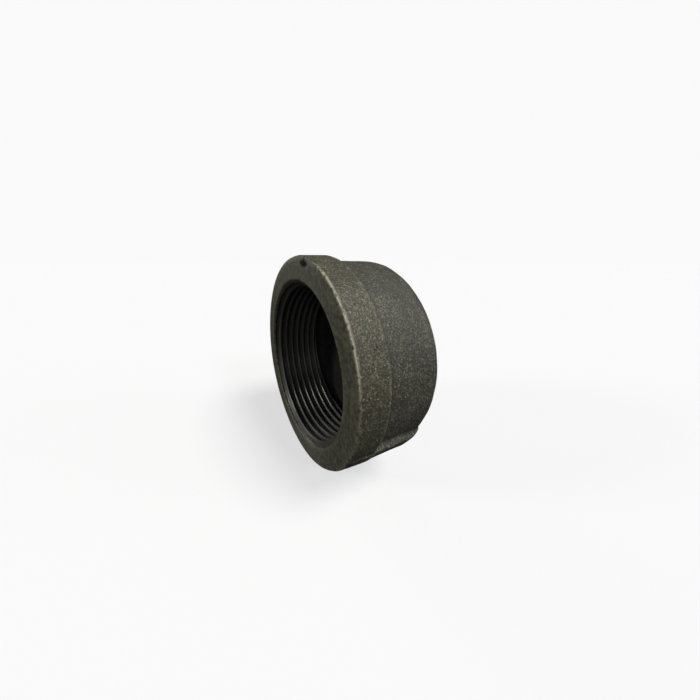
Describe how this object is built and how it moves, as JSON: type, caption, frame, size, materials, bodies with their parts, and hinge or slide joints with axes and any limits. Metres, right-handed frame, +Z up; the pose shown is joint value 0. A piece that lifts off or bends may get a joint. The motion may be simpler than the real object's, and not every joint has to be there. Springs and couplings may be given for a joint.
{
  "type": "pipe cap",
  "caption": "Banded malleable-iron pipe cap with a parallel internal thread, a crowned closed end and grip ribs.",
  "frame": {"origin": "middle of the machined mouth face, on the thread's axis", "axes": "+Y runs along the thread's axis from the mouth into the closed end, so the mouth faces -Y; +Z is up with the cap lying on its side"},
  "size_m": [0.06, 0.0275, 0.06],
  "materials": {
    "cast_iron": "sand-cast, dark oxide, machined mouth face and thread"
  },
  "bodies": {
    "root": {"cap_casting": "cast_iron"}
  },
  "joints": []
}
